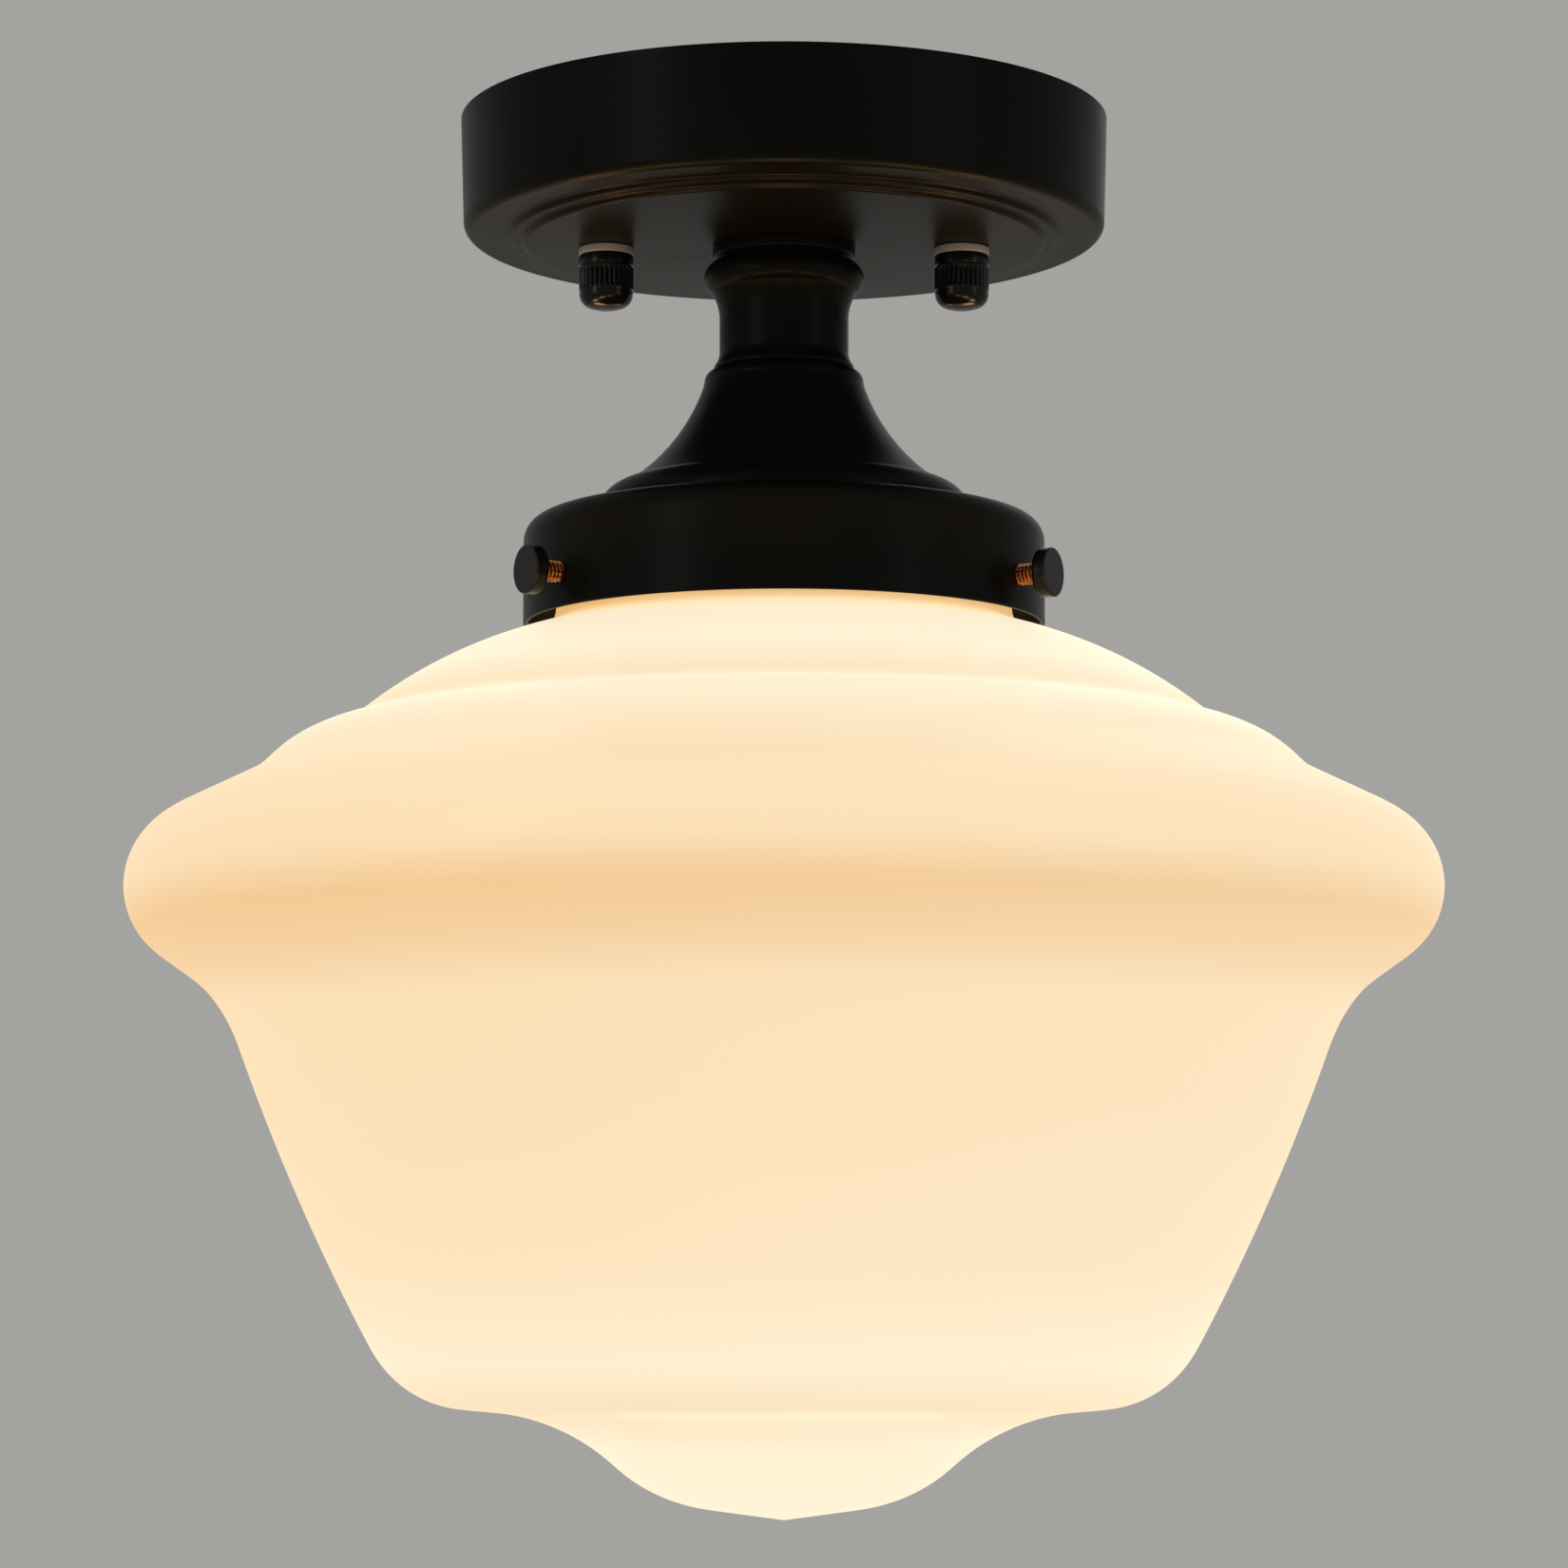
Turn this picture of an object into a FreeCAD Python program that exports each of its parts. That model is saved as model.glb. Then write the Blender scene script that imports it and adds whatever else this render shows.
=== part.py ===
"""Semi flush ceiling light with a schoolhouse glass shade, built piece by piece as it comes apart on a bench.

The origin is the centre of the ceiling plane, +Z points up into the ceiling and the light hangs along -Z.
All sizes are in millimetres. Threads are plain cylinders at their outer diameter.
"""
import FreeCAD
import Part
import math
import os

# Threads, and the running and seating clearances
small_thread_r = 2.08        # 8-32 machine screw
small_pitch = 0.794
tube_thread_r = 5.05         # 1/8 in lamp pipe
thread_gap = 0.06
slip_gap = 0.25

# Crossbar, screwed to the ceiling box
bar_length = 108.0
bar_width = 15.0
bar_sheet = 1.6
stud_spacing = 69.85
box_spacing = 88.9
box_slot_length = 9.0
box_slot_width = 4.8
lock_nut_flats = 8.7
lock_nut_height = 3.2
earth_x = 18.0
earth_head_r = 3.8
earth_head_height = 2.4
tag_sheet = 0.8
tag_r = 4.0
tag_barrel_r = 1.7
tag_barrel_length = 6.0

# Terminal block under the crossbar
block_length = 18.0
block_width = 26.0
block_height = 11.0
block_near_x = -11.4
pole_pitch = 8.4
pole_bore_r = 2.5
sleeve_bore_r = 1.5
sleeve_length = 13.0
clamp_screw_r = 1.4
block_screw_r = 1.2
block_screw_head_r = 2.2

# Ceiling plate
plate_r = 63.5
plate_foot_r = 62.9
plate_sheet = 1.0
plate_depth = 22.6
plate_corner = 2.0
step_r = 54.3
step_tread = 2.0
step_slope = 0.7
step_rise = 1.1

# Knurled cap nuts and their nylon washers
washer_thickness = 1.2
cap_nut_r = 5.35
cap_collar = 1.9
cap_groove = 0.4
cap_groove_depth = 0.45
knurl_height = 4.9
knurl_depth = 0.3
knurl_flutes = 32
cap_dome = 4.0
stud_grip = 6.6

# Lamp pipe with its nuts and toothed washers
tube_bore_r = 3.4
tube_above_plate = 7.8
tube_below_nut = 1.4
pipe_nut_flats = 14.3
pipe_nut_height = 4.0
pipe_washer_r = 8.5
pipe_washer = 1.0

# Turned neck spool
spool_length = 24.6
spool_collar_r = 14.0
spool_bead_r = 15.65
spool_waist_r = 12.65
spool_foot_r = 13.7

# Bell cover
bell_height = 29.6
bell_sheet = 1.0
bell_crown_r = 13.2
bell_shoulder_r = 15.6
bell_crease_r = 30.6
bell_foot_r = 36.2

# Shade holder and its three thumb screws
fitter_gap = 5.5             # between the holder's wall and the neck of the glass
fitter_height = 21.0
fitter_sheet = 1.0
fitter_round = 4.5
boss_r = 2.9
boss_reach = 1.4
screw_rise = 6.7             # screw axis above the holder's lower edge
screw_turn = 2.3             # the three screws stand this many degrees round from square
screw_bare = 4.0             # thread that shows between holder and head
screw_head_r = 4.7
screw_head_thickness = 3.0
screw_head_round = 0.9
screw_spigot = 1.6

# Glass shade: radii and the drops between them, from the neck down
glass_wall = 3.0
glass_neck_r = 44.3
glass_lip_reach = 3.5
glass_lip_height = 3.6
dome_r = 84.3
dome_drop = 20.6
ring_r = 101.3
ring_drop = 9.4
bulge_r = 127.0
bulge_drop = 22.7
bulge_round = 16.4
bulge_top_slope = 26.0
bulge_under_slope = 32.0
waist_r = 104.6
waist_drop = 28.6
heel_r = 78.6
heel_drop = 59.0
floor_r = 58.0
floor_drop = 10.9
nipple_r = 30.0
nipple_drop = 12.3
tip_r = 15.5
tip_drop = 6.6
tip_point = 2.2

# Lamp holder
bracket_sheet = 1.2
bracket_width = 14.0
bracket_half = 13.0
bracket_height = 17.0
foot_reach = 11.0
holder_flange_r = 24.0
holder_flange = 6.0
holder_flats = 18.5
holder_barrel_r = 16.2
holder_height = 27.0
holder_floor = 4.0
holder_screw_x = 20.0
holder_screw_r = 1.9
holder_screw_head_r = 3.1
holder_screw_head = 2.2
shell_bore_r = 13.5
shell_sheet = 0.4
shell_height = 20.5
terminal_y = 13.5
terminal_head_r = 3.0
terminal_head = 2.0
terminal_shank = 2.6
spring_width = 5.0
spring_length = 16.0
spring_sheet = 0.5
spring_rise = 2.0

# Bulb
bulb_length = 110.0
bulb_r = 30.0
bulb_glass = 1.0
bulb_cap_r = 13.1
bulb_cap_sheet = 0.4
bulb_cap_height = 21.0
bulb_skirt = 3.5
bulb_eyelet_r = 4.6
bulb_eyelet = 1.2
bulb_insulator = 2.6
bulb_insulator_r = 9.0

# Leads
lead_r = 1.1
lead_spread = 1.25           # each lead's distance from the pipe's axis
lead_end_gap = 0.1
lead_foot_bend = 8.5
lead_plug_in = 2.5

# Radii and heights worked out from the sizes above
glass_lip_r = glass_neck_r + glass_lip_reach
fitter_r = glass_neck_r + fitter_gap + fitter_sheet
plate_low = -(plate_depth + 2 * step_rise)
plate_floor = plate_low + plate_sheet
bar_under = -bar_sheet
washer_low = plate_low - washer_thickness
spool_low = plate_low - spool_length
bell_low = spool_low - bell_height
holder_top = bell_low - fitter_sheet
fitter_low = bell_low - fitter_height
screw_z = fitter_low + screw_rise
bracket_low = holder_top - bracket_sheet
tube_top = plate_floor + tube_above_plate
tube_low = bracket_low - pipe_washer - pipe_nut_height - tube_below_nut
socket_top = holder_top - bracket_height
socket_low = socket_top - holder_height
socket_floor = socket_top - holder_floor
eyelet_top = socket_floor - spring_sheet - spring_rise - slip_gap
pole_z = bar_under - block_height / 2
lip_low = screw_z + small_thread_r + slip_gap
bore_r = tube_thread_r + slip_gap
screw_tip_r = glass_neck_r + slip_gap
head_inner_r = fitter_r + screw_bare

AXIS = FreeCAD.Vector(0, 0, 1)
MITRED = 2                   # how the corners of an offset profile are joined


def at(radius, height):
    return FreeCAD.Vector(radius, 0, height)


def path(start, *moves):
    """A wire in the XZ plane. A move is one point for a line, or a point passed and an end point for an arc."""
    edges = []
    here = at(*start)
    for move in moves:
        end = at(*move[-1])
        if len(move) == 2:
            edges.append(Part.Arc(here, at(*move[0]), end).toShape())
        else:
            edges.append(Part.LineSegment(here, end).toShape())
        here = end
    return Part.Wire(edges)


def round_by_lines(centre, radius, first, last, steps):
    """Line moves that follow an arc from the first to the last angle in degrees."""
    moves = []
    for step in range(steps + 1):
        turn = math.radians(first + (last - first) * step / steps)
        moves.append(((centre[0] + radius * math.cos(turn), centre[1] + radius * math.sin(turn)),))
    return moves


def bow(start, through, end, steps):
    """Line moves that follow the arc through three points, for a long curve of a large turned piece."""
    arc = Part.Arc(at(*start), at(*through), at(*end)).toShape()
    return [((point.x, point.z),) for point in arc.discretize(steps + 1)[1:]]


def turned(start, *moves):
    """A solid of revolution from a closed half section."""
    wire = path(start, *moves, (start,))
    return Part.Face(wire).revolve(FreeCAD.Vector(), AXIS, 360)


def spun(wire, sheet):
    """A shell of even thickness behind an open outer profile."""
    wall = wire.makeOffset2D(-sheet, MITRED, True, True, False)
    return wall.Faces[0].revolve(FreeCAD.Vector(), AXIS, 360)


def to_pole(radius, height, pole):
    """The move that closes a dome: an arc centred on the axis, from radius and height to the pole."""
    rise = height - pole
    sphere_r = (radius ** 2 + rise ** 2) / (2 * rise)
    half = math.asin(radius / abs(sphere_r)) / 2
    through = (abs(sphere_r) * math.sin(half), pole + sphere_r * (1 - math.cos(half)))
    return (through, (0, pole))


def rod(radius, low, high, x=0.0, y=0.0):
    return Part.makeCylinder(radius, high - low, FreeCAD.Vector(x, y, low), AXIS)


def tube(radius, bore, low, high, x=0.0, y=0.0):
    return rod(radius, low, high, x, y).cut(rod(bore, low, high, x, y))


def block(length, width, low, high, x=0.0, y=0.0):
    """A box centred on x, y."""
    corner = FreeCAD.Vector(x - length / 2, y - width / 2, low)
    return Part.makeBox(length, width, high - low, corner)


def hex_nut(flats, bore, low, high, x=0.0):
    """A six sided nut with its upper and lower corners turned off."""
    corner_r = flats / math.sqrt(3)
    angles = [math.radians(60 * i) for i in range(7)]
    corners = [FreeCAD.Vector(x + corner_r * math.cos(a), corner_r * math.sin(a), low) for a in angles]
    body = Part.Face(Part.makePolygon(corners)).extrude(FreeCAD.Vector(0, 0, high - low))
    flat_r = flats / 2
    slope = (corner_r - flat_r) / 2
    turning = turned((0, low), ((flat_r, low),), ((corner_r, low + slope),), ((corner_r, high - slope),),
                     ((flat_r, high),), ((0, high),))
    turning.translate(FreeCAD.Vector(x, 0, 0))
    return body.common(turning).cut(rod(bore, low, high, x))


def slotted_head(radius, low, high, x=0.0, y=0.0):
    """A cheese head, seen from below, with its driver slot."""
    slot_width = radius / 4
    slot = block(2 * radius, slot_width, low, low + (high - low) / 3, x, y)
    return rod(radius, low, high, x, y).cut(slot)


def pair(make, spread):
    """The same piece at +spread and -spread along X, as two solids in one node."""
    return Part.makeCompound([make(spread), make(-spread)])


# Crossbar and what hangs from it

def crossbar():
    bar = block(bar_length - bar_width, bar_width, bar_under, 0)
    for side in (1, -1):
        bar = bar.fuse(rod(bar_width / 2, bar_under, 0, side * (bar_length - bar_width) / 2))
        bar = bar.cut(rod(small_thread_r + thread_gap, bar_under, 0, side * stud_spacing / 2))
        run = box_slot_length - box_slot_width
        bar = bar.cut(block(run, box_slot_width, bar_under, 0, side * box_spacing / 2))
        for end in (1, -1):
            slot_x = side * box_spacing / 2 + end * run / 2
            bar = bar.cut(rod(box_slot_width / 2, bar_under, 0, slot_x))
        bar = bar.cut(rod(block_screw_r + thread_gap, bar_under, 0, block_centre_x(), side * pole_pitch / 2))
    bar = bar.cut(rod(tube_thread_r + thread_gap, bar_under, 0))
    bar = bar.cut(rod(small_thread_r + thread_gap, bar_under, 0, earth_x))
    return bar.removeSplitter()


def mounting_studs():
    return pair(lambda x: rod(small_thread_r, washer_low - stud_grip, 0, x), stud_spacing / 2)


def stud_lock_nuts():
    low = bar_under - lock_nut_height
    return pair(lambda x: hex_nut(lock_nut_flats, small_thread_r + thread_gap, low, bar_under, x), stud_spacing / 2)


def earth_screw():
    top = bar_under - tag_sheet
    head = slotted_head(earth_head_r, top - earth_head_height, top, earth_x)
    return head.fuse(rod(small_thread_r, top, 0, earth_x)).removeSplitter()


def tag_mouth_x():
    return earth_x - tag_r - tag_barrel_length


def tag_barrel_z():
    return bar_under - slip_gap - tag_barrel_r


def earth_tag():
    """A ring terminal: the ring is clamped by the screw and the barrel grips the lead."""
    low = bar_under - tag_sheet
    ring = rod(tag_r, low, bar_under, earth_x)
    tongue_length = tag_r + tag_barrel_length / 2
    tongue = block(tongue_length, 1.6 * tag_barrel_r, low, bar_under - slip_gap, earth_x - tongue_length / 2)
    mouth = FreeCAD.Vector(tag_mouth_x(), 0, tag_barrel_z())
    along = FreeCAD.Vector(1, 0, 0)
    barrel = Part.makeCylinder(tag_barrel_r, tag_barrel_length, mouth, along)
    bore = Part.makeCylinder(lead_r + thread_gap, tag_barrel_length, mouth, along)
    hole = rod(small_thread_r + thread_gap, low, bar_under, earth_x)
    return ring.fuse([tongue, barrel]).cut([bore, hole]).removeSplitter()


# Terminal block

def block_centre_x():
    return block_near_x - block_length / 2


def pole_ys():
    return [pole * pole_pitch for pole in (-1, 0, 1)]


def pole_rod(radius, length, y):
    start = FreeCAD.Vector(block_centre_x() - length / 2, y, pole_z)
    return Part.makeCylinder(radius, length, start, FreeCAD.Vector(1, 0, 0))


def clamp_xs():
    return [block_centre_x() + side * sleeve_length / 4 for side in (1, -1)]


def terminal_block():
    """Moulded body with a bore for each pole, wells for the clamp screws and two fixing holes."""
    low = bar_under - block_height
    body = block(block_length, block_width, low, bar_under, block_centre_x())
    corners = [edge for edge in body.Edges if abs(edge.BoundBox.ZLength - block_height) < 0.01]
    body = body.makeFillet(pole_bore_r / 2, corners)
    for y in pole_ys():
        body = body.cut(pole_rod(pole_bore_r, block_length, y))
        for x in clamp_xs():
            body = body.cut(rod(clamp_screw_r + slip_gap, low, pole_z, x, y))
    for side in (1, -1):
        y = side * pole_pitch / 2
        body = body.cut(rod(block_screw_r + thread_gap, low, bar_under, block_centre_x(), y))
    return body


def terminal_sleeves():
    """Brass sleeves, one for each pole, tapped from below for two clamp screws."""
    sleeves = []
    for y in pole_ys():
        sleeve = pole_rod(pole_bore_r - thread_gap, sleeve_length, y).cut(pole_rod(sleeve_bore_r, sleeve_length, y))
        for x in clamp_xs():
            sleeve = sleeve.cut(rod(clamp_screw_r + thread_gap, pole_z - pole_bore_r, pole_z, x, y))
        sleeves.append(sleeve)
    return Part.makeCompound(sleeves)


def clamp_screws():
    low = bar_under - block_height
    screws = [slotted_head(clamp_screw_r, low, pole_z - sleeve_bore_r / 2, x, y)
              for y in pole_ys() for x in clamp_xs()]
    return Part.makeCompound(screws)


def block_screws():
    """Two screws hold the block up against the crossbar."""
    low = bar_under - block_height
    head_height = block_screw_r
    screws = []
    for side in (1, -1):
        y = side * pole_pitch / 2
        head = slotted_head(block_screw_head_r, low - head_height, low, block_centre_x(), y)
        screws.append(head.fuse(rod(block_screw_r, low, 0, block_centre_x(), y)).removeSplitter())
    return Part.makeCompound(screws)


# Ceiling plate, studs' nuts, lamp pipe

def canopy():
    """Pan pressed from sheet, with a double step that drops the middle of its underside."""
    corner_centre = (plate_foot_r - plate_corner, plate_corner - plate_depth)
    tread_z = -plate_depth - step_rise
    inner_r = step_r - step_slope - step_tread
    outline = path((plate_r, 0),
                   *round_by_lines(corner_centre, plate_corner, 0, -90, 2),
                   ((step_r, -plate_depth),),
                   ((step_r - step_slope, tread_z),),
                   ((inner_r, tread_z),),
                   ((inner_r - step_slope, plate_low),),
                   ((bore_r, plate_low),))
    pan = spun(outline, plate_sheet)
    above = block(4 * plate_r, 4 * plate_r, 0, plate_sheet)
    pan = pan.cut(above)
    hole_r = small_thread_r + 2 * slip_gap
    for side in (1, -1):
        pan = pan.cut(rod(hole_r, plate_low, plate_floor, side * stud_spacing / 2))
    return pan


def nut_washer(x):
    return tube(cap_nut_r, small_thread_r + slip_gap, washer_low, plate_low, x)


def knurl(low, high):
    """A fluted drum: a prism with a ridge and a groove for every flute."""
    points = []
    for step in range(2 * knurl_flutes + 1):
        angle = math.pi * step / knurl_flutes
        radius = cap_nut_r - knurl_depth * (step % 2)
        points.append(FreeCAD.Vector(radius * math.cos(angle), radius * math.sin(angle), low))
    return Part.Face(Part.makePolygon(points)).extrude(FreeCAD.Vector(0, 0, high - low))


def cap_nut(x):
    """Domed nut: smooth collar, groove, knurled band and polished end, drilled and tapped from above."""
    groove_top = washer_low - cap_collar
    knurl_top = groove_top - cap_groove
    knurl_low = knurl_top - knurl_height
    neck_r = cap_nut_r - cap_groove_depth
    edge = cap_groove_depth / 2
    crown = (0.66 * cap_nut_r, knurl_low - 0.84 * cap_dome)
    blank = turned((0, washer_low),
                   ((cap_nut_r - edge, washer_low),),
                   ((cap_nut_r, washer_low - edge),),
                   ((cap_nut_r, groove_top + edge),),
                   ((neck_r, groove_top),),
                   ((neck_r, knurl_top),),
                   ((0, knurl_top),))
    dome = turned((0, knurl_low),
                  ((cap_nut_r - 1.3 * knurl_depth, knurl_low),),
                  ((cap_nut_r - 1.3 * knurl_depth, knurl_low - 0.35 * cap_dome),),
                  ((0.86 * cap_nut_r, knurl_low - 0.62 * cap_dome),),
                  (crown,),
                  to_pole(*crown, knurl_low - cap_dome))
    nut = blank.fuse([knurl(knurl_low, knurl_top), dome])
    tapped = rod(small_thread_r + thread_gap, washer_low - stud_grip - 2 * small_pitch, washer_low)
    nut = nut.cut(tapped)
    nut.translate(FreeCAD.Vector(x, 0, 0))
    return nut


def threaded_tube():
    return tube(tube_thread_r, tube_bore_r, tube_low, tube_top)


def pipe_nut(high):
    return hex_nut(pipe_nut_flats, tube_thread_r + thread_gap, high - pipe_nut_height, high)


def pipe_lock_washer(high):
    """Toothed washer under a pipe nut."""
    washer = tube(pipe_washer_r, tube_thread_r + thread_gap, high - pipe_washer, high)
    teeth = 12
    for tooth in range(teeth):
        notch = block(1.5 * pipe_washer, pipe_washer, high - pipe_washer, high, pipe_washer_r)
        notch.rotate(FreeCAD.Vector(), AXIS, 360 * tooth / teeth)
        washer = washer.cut(notch)
    return washer


# Neck spool and bell cover

def neck_spool():
    """Turned spool: collar, round bead, hollow sweep to a straight waist and a flared foot."""
    z = plate_low
    return turned((bore_r, z),
                  ((spool_collar_r, z),),
                  ((spool_collar_r, z - 2.1),),
                  ((spool_collar_r - 0.8, z - 2.7),),
                  *round_by_lines((spool_bead_r - 3.4, z - 5.9), 3.4, 55, -55, 5),
                  ((spool_waist_r + 0.4, z - 10.8),),
                  ((spool_waist_r, z - 13.6),),
                  ((spool_waist_r, z - 21.2),),
                  ((spool_waist_r + 0.35, z - 23.0),),
                  ((spool_foot_r, z - 24.1),),
                  ((spool_foot_r, spool_low),),
                  ((bore_r, spool_low),))


def bell_cover():
    """Spun cover: rounded shoulder, sweep like a trumpet's bell and a stepped foot ring."""
    z = spool_low
    sweep_top = (bell_shoulder_r + 0.6, z - 4.6)
    outline = path((bore_r, z),
                   ((bell_crown_r, z),),
                   ((bell_crown_r + 1.8, z - 0.8),),
                   ((bell_shoulder_r, z - 2.6),),
                   (sweep_top,),
                   *bow(sweep_top, (bell_shoulder_r + 5.4, z - 13.3), (bell_crease_r, z - 22.7), 6),
                   ((bell_foot_r - 1.6, z - 24.4),),
                   ((bell_foot_r, z - 26.8),),
                   ((bell_foot_r, bell_low),))
    return spun(outline, bell_sheet)


# Shade holder and thumb screws

def screw_angles():
    return {"back": 90 + screw_turn, "left": 210 + screw_turn, "right": 330 + screw_turn}


def radial_rod(radius, inner, outer, angle):
    rod_along_x = Part.makeCylinder(radius, outer - inner, FreeCAD.Vector(inner, 0, screw_z), FreeCAD.Vector(1, 0, 0))
    rod_along_x.rotate(FreeCAD.Vector(), AXIS, angle)
    return rod_along_x


def fitter():
    """Spun cup that holds the shade, with three tapped bosses pushed inwards through its wall."""
    corner_centre = (fitter_r - fitter_round, bell_low - fitter_round)
    outline = path((bore_r, bell_low),
                   *round_by_lines(corner_centre, fitter_round, 90, 0, 4),
                   ((fitter_r, fitter_low),))
    cup = spun(outline, fitter_sheet)
    inner_wall = fitter_r - fitter_sheet
    for angle in screw_angles().values():
        boss = radial_rod(boss_r, inner_wall - boss_reach, fitter_r - fitter_sheet / 2, angle)
        cup = cup.fuse(boss)
    for angle in screw_angles().values():
        cup = cup.cut(radial_rod(small_thread_r + thread_gap, glass_neck_r, 2 * fitter_r, angle))
    return cup


def screw_shank(angle):
    """Brass thread with a turned-down tip; its outer end is a spigot inside the head."""
    tip = small_thread_r / 3
    outer = head_inner_r + screw_spigot
    shank = Part.makeCylinder(small_thread_r, outer - screw_tip_r - tip, FreeCAD.Vector(screw_tip_r + tip, 0, screw_z),
                              FreeCAD.Vector(1, 0, 0))
    point = Part.makeCone(small_thread_r - tip, small_thread_r, tip, FreeCAD.Vector(screw_tip_r, 0, screw_z),
                          FreeCAD.Vector(1, 0, 0))
    shank = shank.fuse(point).removeSplitter()
    shank.rotate(FreeCAD.Vector(), AXIS, angle)
    return shank


def screw_head(angle):
    """Round thumb head with eased rims, bored for the spigot."""
    head = Part.makeCylinder(screw_head_r, screw_head_thickness, FreeCAD.Vector(head_inner_r, 0, screw_z),
                             FreeCAD.Vector(1, 0, 0))
    rims = [edge for edge in head.Edges if isinstance(edge.Curve, Part.Circle)]
    head = head.makeChamfer(screw_head_round, rims)
    bore = Part.makeCylinder(small_thread_r + thread_gap, screw_spigot + slip_gap,
                             FreeCAD.Vector(head_inner_r, 0, screw_z), FreeCAD.Vector(1, 0, 0))
    head = head.cut(bore)
    head.rotate(FreeCAD.Vector(), AXIS, angle)
    return head


# Glass shade

def shade():
    """Blown glass: lipped neck, domed shoulder, ogee ring, round bulge, tapering wall and a nippled floor."""
    neck_low = fitter_low + 1.0
    shoulder = (glass_neck_r + 2.4, neck_low - 2.4)
    dome = (dome_r, fitter_low - dome_drop)
    ring = (ring_r, dome[1] - ring_drop)
    bulge_z = ring[1] - bulge_drop
    waist = (waist_r, bulge_z - waist_drop)
    heel = (heel_r, waist[1] - heel_drop)
    floor = (floor_r, heel[1] - floor_drop)
    nipple = (nipple_r, floor[1] - nipple_drop)
    tip = (tip_r, nipple[1] - tip_drop)
    point = (0, tip[1] - tip_point)

    bulge_centre = (bulge_r - bulge_round, bulge_z)
    scoop = (waist[0] + 8.4, waist[1] + 10.8)
    wall_middle = (waist[0] - 11.2, waist[1] - 28.2)
    corner = (floor[0] + 5.0, floor[1] + 0.6)

    def inset(place, degrees):
        """The point one wall thickness inside the glass, in the given direction."""
        turn = math.radians(degrees)
        return (place[0] + glass_wall * math.cos(turn), place[1] + glass_wall * math.sin(turn))

    below = [inset(tip, 105), inset(nipple, 125), inset(floor, 95), inset(corner, 100),
             inset(heel, 165), inset(wall_middle, 165), inset(waist, 170), inset(scoop, 145)]
    dome_reach = dome_r - glass_neck_r
    above = [inset(ring, 235), inset(dome, 250), (glass_neck_r + 0.5375 * dome_reach, fitter_low - 12.0)]
    bore = glass_neck_r - glass_wall
    lip_top = lip_low + glass_lip_height
    lip_core = (glass_lip_r - glass_lip_height / 2, lip_low + glass_lip_height / 2)
    return turned((bore, lip_top),
                  *round_by_lines(lip_core, glass_lip_height / 2, 90, -90, 4),
                  ((glass_neck_r, lip_low),),
                  ((glass_neck_r, neck_low),),
                  (shoulder,),
                  *bow(shoulder, (glass_neck_r + 0.5675 * dome_reach, fitter_low - 8.8), dome, 5),
                  ((dome_r + 9.4, dome[1] - 2.8),),
                  (ring,),
                  *round_by_lines(bulge_centre, bulge_round, 90 - bulge_top_slope, bulge_under_slope - 90, 7),
                  (scoop,),
                  ((waist_r + 3.2, waist[1] + 6.1),),
                  (waist,),
                  *bow(waist, wall_middle, heel, 4),
                  ((heel_r - 2.2, heel[1] - 3.6),),
                  ((heel_r - 6.2, heel[1] - 6.6),),
                  (corner,),
                  (floor,),
                  ((nipple_r + 13.0, nipple[1] + 9.2),),
                  (nipple,),
                  ((nipple_r - 7.2, nipple[1] - 4.3),),
                  (tip,),
                  (point,),
                  ((0, point[1] + glass_wall),),
                  *[(place,) for place in below],
                  *round_by_lines(bulge_centre, bulge_round - glass_wall, -45, 50, 3),
                  *[(place,) for place in above],
                  ((bore, neck_low - 2.0),))


# Lamp holder

def socket_bracket():
    """Bridge of bent strip: crown on the lamp pipe, two legs and two tapped feet."""
    crown = block(2 * bracket_half, bracket_width, bracket_low, holder_top)
    foot_top = socket_top + bracket_sheet
    parts = []
    for side in (1, -1):
        leg_x = side * (bracket_half - bracket_sheet / 2)
        parts.append(block(bracket_sheet, bracket_width, socket_top, holder_top, leg_x))
        foot_length = foot_reach + bracket_sheet
        foot_x = side * (bracket_half - bracket_sheet + foot_length / 2)
        parts.append(block(foot_length, bracket_width, socket_top, foot_top, foot_x))
    bridge = crown.fuse(parts).cut(rod(tube_thread_r + thread_gap, bracket_low, holder_top))
    for side in (1, -1):
        hole = rod(holder_screw_r + thread_gap, socket_top, foot_top, side * holder_screw_x)
        bridge = bridge.cut(hole)
    return bridge.removeSplitter()


def socket_body():
    """Porcelain lamp holder: flatted flange, barrel, deep bore for the screw shell."""
    flange_low = socket_top - holder_flange
    flange = rod(holder_flange_r, flange_low, socket_top)
    flange = flange.common(block(4 * holder_flange_r, 2 * holder_flats, flange_low, socket_top))
    body = flange.fuse(rod(holder_barrel_r, socket_low, flange_low))
    body = body.cut(rod(shell_bore_r + shell_sheet + thread_gap, socket_low, socket_floor))
    for side in (1, -1):
        body = body.cut(rod(holder_screw_r + slip_gap, flange_low, socket_top, side * holder_screw_x))
        well_low = socket_top - terminal_shank
        body = body.cut(rod(clamp_screw_r + thread_gap, well_low, socket_top, 0, side * terminal_y))
    return body.removeSplitter()


def socket_shell():
    """Brass screw shell, a drawn cup with a hole in its floor for the centre contact."""
    shell_r = shell_bore_r + shell_sheet
    cup = tube(shell_r, shell_bore_r, socket_floor - shell_height, socket_floor)
    floor = tube(shell_r, spring_length / 2 + 1.5, socket_floor - shell_sheet, socket_floor)
    return cup.fuse(floor).removeSplitter()


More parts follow.
